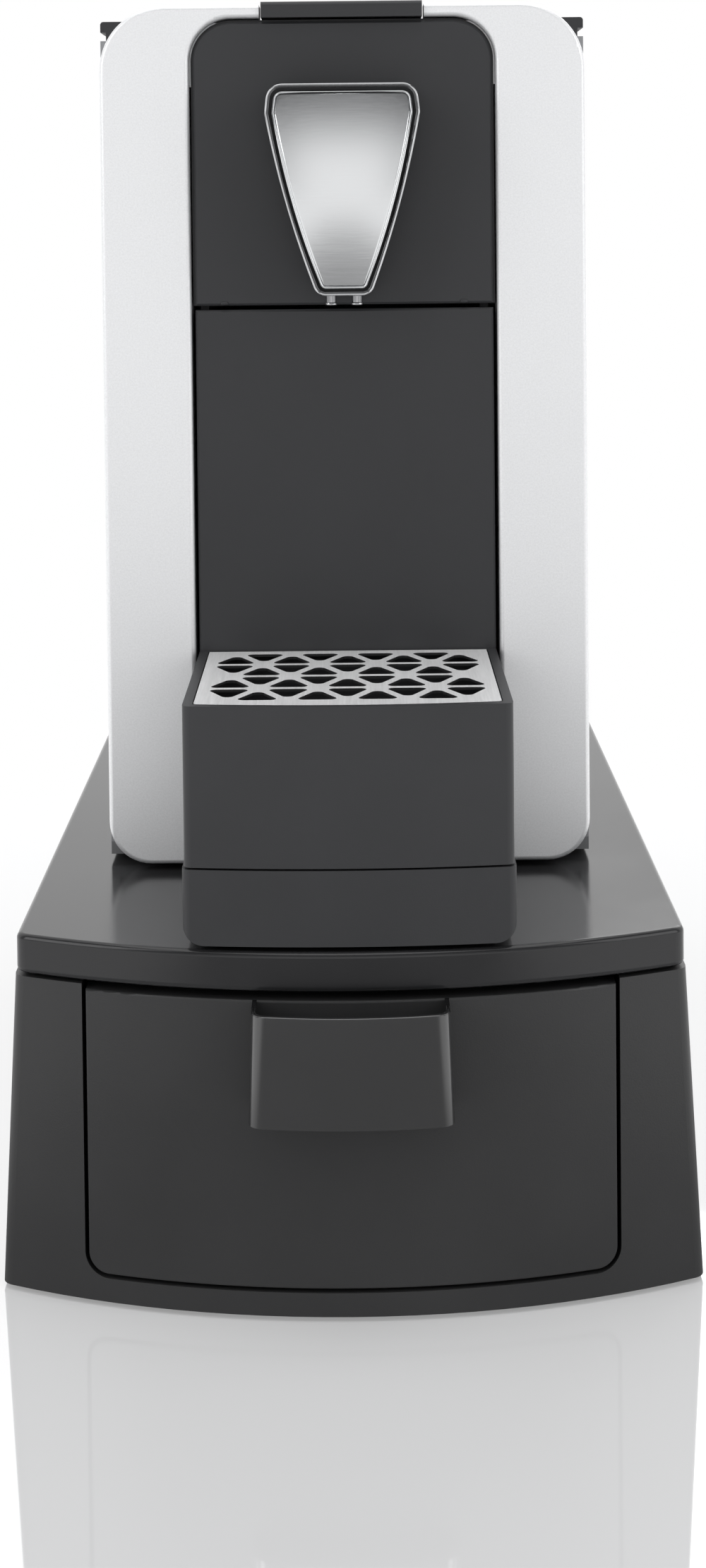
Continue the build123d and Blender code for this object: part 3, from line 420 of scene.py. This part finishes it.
def add_handle_rim():
    """A rounded rim along the top edge of the drawer's bowed handle."""
    top_width, bow, handle_corner, reach, radius = 0.0554, 0.003, 0.0048, 0.011, 0.0006
    steps = 6
    low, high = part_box("drawer_handle")
    half = top_width / 2 - radius
    corner = handle_corner - radius
    flat = half - corner
    front, z = low[1] + radius, high[2] - radius / 2

    def bowed(x):
        return Vector((x, front + bow * (x / half) ** 2, z))

    inwards = Vector((0, corner, 0))
    path = [Vector((-half, front + reach, z))]
    path += arc(bowed(-flat) + inwards, corner, 180, 270)
    path += [bowed(flat * step / steps) for step in range(1 - steps, steps)]
    path += arc(bowed(flat) + inwards, corner, 270, 360)
    path.append(Vector((half, front + reach, z)))
    bead("handle_rim", "drawer", "stand_charcoal", domed(path, radius), UP, look=handle_charcoal)


# Details of the sides and the rear

def add_power_collar():
    """A collar on the dock round the power button."""
    gap, radius = 0.0004, 0.0008
    low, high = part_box("power_button")
    _, dock_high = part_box("tank_dock")
    centre = Vector(((low[0] + high[0]) / 2, dock_high[1], (low[2] + high[2]) / 2))
    collar = ring(centre, AHEAD, (high[0] - low[0]) / 2 + gap, radius)
    bead("power_collar", "chassis", "chrome_trim", collar, AHEAD, closed=True)


def add_level_ridge():
    """A level ridge round the sides and the rear of the tank."""
    height, setback, corner, radius = 0.160, 0.012, 0.015, 0.0006
    low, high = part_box("water_tank")
    y, z = low[1] + setback, low[2] + height
    left_turn = Vector((low[0] + corner, high[1] - corner, z))
    right_turn = Vector((high[0] - corner, high[1] - corner, z))
    path = [Vector((low[0], y, z))]
    path += arc(left_turn, corner, 180, 90)
    path += arc(right_turn, corner, 90, 0)
    path.append(Vector((high[0], y, z)))
    bead("tank_level_ridge", "tank", "tank_clear", domed(path, radius), UP)


def add_lid_grips():
    """Three grip ridges across the rear of the tank lid, whose knuckles rise above its top."""
    count, half, setback, pitch, radius, knuckle_rise = 3, 0.016, 0.009, 0.004, 0.0008, 0.0028
    _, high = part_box("tank_lid")
    for row in range(count):
        start = Vector((-half, high[1] - setback - row * pitch, high[2] - knuckle_rise))
        end = start + Vector((2 * half, 0, 0))
        bead(f"lid_grip_{row + 1}", "lid", "charcoal_plastic", domed([start, end], radius), UP)


def add_vent_ribs():
    """A rib behind each slot of the side vents, which closes the view through the body."""
    count, inset, pitch, rise = 6, 0.014, 0.0065, 0.040
    half, radius, depth = 0.0174, 0.0016, 0.00343
    low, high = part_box("right_side_panel")
    for label, side in SIDES:
        for row in range(count):
            y = high[1] - inset - pitch * (row + 1)
            start = Vector((side * (high[0] - depth), y, low[2] + rise - half))
            end = start + Vector((0, 0, 2 * half))
            rib = domed([start, end], radius)
            bead(f"vent_rib_{label}_{row + 1}", "chassis", "inner_plastic", rib, AHEAD)


add_panel_nubs()
add_nozzle_lips()
add_bezel_wire()
add_shield_rim()
add_handle_rim()
add_power_collar()
add_level_ridge()
add_lid_grips()
add_vent_ribs()


# Stage: a floor that keeps shadow and a faint mirror image near the object and is white further out

def plain(tree, kind, colour, values=None):
    """A simple shader in one colour."""
    return add_node(tree, kind, {"Color": (*colour, 1), **(values or {})}).outputs[0]


def mix_shaders(tree, first, second, factor):
    """Two shaders mixed by a number or a socket."""
    node = add_node(tree, "ShaderNodeMixShader", links={1: first, 2: second})
    if isinstance(factor, float):
        node.inputs["Fac"].default_value = factor
    else:
        tree.links.new(factor, node.inputs["Fac"])
    return node.outputs["Shader"]


def seen_straight(tree):
    """1 for rays from the camera and through clear plastic, 0 for all others."""
    rays = add_node(tree, "ShaderNodeLightPath").outputs
    return combine(tree, "MAXIMUM", rays["Is Camera Ray"], rays["Is Transmission Ray"])


def seen_mirrored(tree):
    """1 for rays that a glossy surface sends out, 0 for all others."""
    return add_node(tree, "ShaderNodeLightPath").outputs["Is Glossy Ray"]


def shown_floor(tree, reach):
    """The floor as the camera sees it, by its distance from the middle."""
    shadow_tone, own_light = (0.56, 0.56, 0.563), 0.44
    mirror_share, mirror_rough = 0.39, 0.03
    fade_start, fade_end = 0.34, 0.52
    matt = plain(tree, "ShaderNodeBsdfDiffuse", shadow_tone)
    glow = plain(tree, "ShaderNodeEmission", WHITE, {"Strength": own_light})
    shadowed = add_node(tree, "ShaderNodeAddShader", links={0: matt, 1: glow}).outputs["Shader"]
    mirror = plain(tree, "ShaderNodeBsdfGlossy", WHITE, {"Roughness": mirror_rough})
    near = mix_shaders(tree, shadowed, mirror, mirror_share)
    backdrop = plain(tree, "ShaderNodeEmission", WHITE, {"Strength": 1.0})
    fade = share(tree, reach, fade_start, fade_end, "SMOOTHSTEP")
    return mix_shaders(tree, near, backdrop, fade)


def mirrored_floor(tree, place, reach):
    """The floor as reflections see it: grey near the object, white far off and at its flanks."""
    near_tone = (0.32, 0.32, 0.322)
    far_start, far_end = 0.6, 2.6
    flank_start, flank_end = 0.17, 0.26
    aside = combine(tree, "ABSOLUTE", split_axes(tree, place)["X"])
    far = share(tree, reach, far_start, far_end)
    flank = share(tree, aside, flank_start, flank_end)
    tone = ramp(tree, combine(tree, "MAXIMUM", far, flank), (0, near_tone), (1, WHITE))
    return add_node(tree, "ShaderNodeEmission", links={"Color": tone}).outputs["Emission"]


def floor_white():
    """The floor's material, which differs by the kind of ray."""
    material = bpy.data.materials.new("floor_white")
    material.use_nodes = True
    tree = material.node_tree
    tree.nodes.clear()
    place = add_node(tree, "ShaderNodeTexCoord").outputs["Object"]
    length = add_node(tree, "ShaderNodeVectorMath", links={0: place})
    length.operation = "LENGTH"
    reach = length.outputs["Value"]
    pale = (0.85, 0.85, 0.855)
    matt = plain(tree, "ShaderNodeBsdfDiffuse", pale)
    bounced = mix_shaders(tree, matt, mirrored_floor(tree, place, reach), seen_mirrored(tree))
    surface = mix_shaders(tree, bounced, shown_floor(tree, reach), seen_straight(tree))
    add_node(tree, "ShaderNodeOutputMaterial", links={"Surface": surface})
    return material


def add_floor(half=6):
    """A large square floor under the object."""
    mesh = bpy.data.meshes.new("floor")
    corners = [(-half, -half, 0), (half, -half, 0), (half, half, 0), (-half, half, 0)]
    mesh.from_pydata(corners, [], [(0, 1, 2, 3)])
    mesh.materials.append(floor_white())
    floor = bpy.data.objects.new("floor", mesh)
    scene.collection.objects.link(floor)


add_floor()


# World: white to the camera, soft light on the object, a room with dark parts for reflections

def mirrored_room(tree):
    """The room as reflections see it: white low down and behind, dark above and aside in front."""
    dark_sky, dark_side = (0.13, 0.132, 0.135), (0.3, 0.303, 0.308)
    axes = split_axes(tree, add_node(tree, "ShaderNodeTexCoord").outputs["Generated"])
    sky = ramp(tree, axes["Z"], (0, WHITE), (0.2, WHITE), (0.5, dark_sky))
    aside = combine(tree, "ABSOLUTE", axes["X"])
    sides = ramp(tree, aside, (0.18, WHITE), (0.5, dark_side))
    behind = ramp(tree, axes["Y"], (0, BLACK), (0.25, WHITE))
    tone = blend(tree, "SCREEN", blend(tree, "MULTIPLY", sky, sides), behind)
    return add_node(tree, "ShaderNodeBackground", links={"Color": tone}).outputs["Background"]


def add_world():
    """The world, which differs by the kind of ray as the floor does."""
    world = bpy.data.worlds.new("studio")
    scene.world = world
    world.use_nodes = True
    tree = world.node_tree
    tree.nodes.clear()
    daylight, level = (0.97, 0.98, 1.0), 0.55
    ambient = plain(tree, "ShaderNodeBackground", daylight, {"Strength": level})
    backdrop = plain(tree, "ShaderNodeBackground", WHITE, {"Strength": 1.0})
    bounced = mix_shaders(tree, ambient, mirrored_room(tree), seen_mirrored(tree))
    surface = mix_shaders(tree, bounced, backdrop, seen_straight(tree))
    add_node(tree, "ShaderNodeOutputWorld", links={"Surface": surface})


add_world()


# Lamps: large soft boxes that don't show through the clear tank

def softbox(name, place, aim, size, watts):
    """An area lamp at a place, turned to a point."""
    lamp = bpy.data.lights.new(name, "AREA")
    lamp.shape = "RECTANGLE"
    lamp.size, lamp.size_y = size
    lamp.energy = watts
    item = bpy.data.objects.new(name, lamp)
    item.location = place
    item.rotation_euler = (Vector(aim) - Vector(place)).to_track_quat("-Z", "Y").to_euler()
    item.visible_transmission = False
    scene.collection.objects.link(item)
    return item


softbox("overhead", place=(0.0, -0.35, 1.55), aim=(0.0, 0.0, 0.2), size=(1.5, 1.2), watts=9.0)
softbox("left", place=(-1.3, -1.0, 0.95), aim=(0.0, 0.0, 0.25), size=(0.9, 1.2), watts=7.6)
softbox("right", place=(1.35, -0.9, 0.85), aim=(0.0, 0.0, 0.25), size=(0.9, 1.2), watts=6.0)
for label, side in SIDES:
    strip = softbox(f"{label}_strip", place=(side * 1.1, -0.25, 0.3), aim=(0.0, -0.15, 0.2),
                    size=(1.1, 0.7), watts=2.6)
    strip.visible_glossy = False
softbox("rear", place=(0.4, 1.4, 1.1), aim=(0.0, 0.1, 0.25), size=(1.4, 0.9), watts=6.0)


# Camera: in front of the spout, tilted a little down, with a small roll as in the photograph

def add_camera():
    """The camera at the photograph's place."""
    pan, tilt, roll = math.radians(0.032), math.radians(2.145), math.radians(0.6)
    camera = bpy.data.cameras.new("camera")
    camera.lens = 58.49
    camera.sensor_width = 36.0
    camera.shift_x = 0.0012
    camera.shift_y = -0.31
    viewer = bpy.data.objects.new("camera", camera)
    viewer.location = (0.0026, -0.8926, 0.3164)
    viewer.rotation_mode = "QUATERNION"
    turn = Matrix.Rotation(pan, 4, "Z")
    turn = turn @ Matrix.Rotation(math.pi / 2 - tilt, 4, "X")
    turn = turn @ Matrix.Rotation(-roll, 4, "Z")
    viewer.rotation_quaternion = turn.to_quaternion()
    scene.collection.objects.link(viewer)
    scene.camera = viewer


add_camera()

scene.view_settings.view_transform = "Standard"
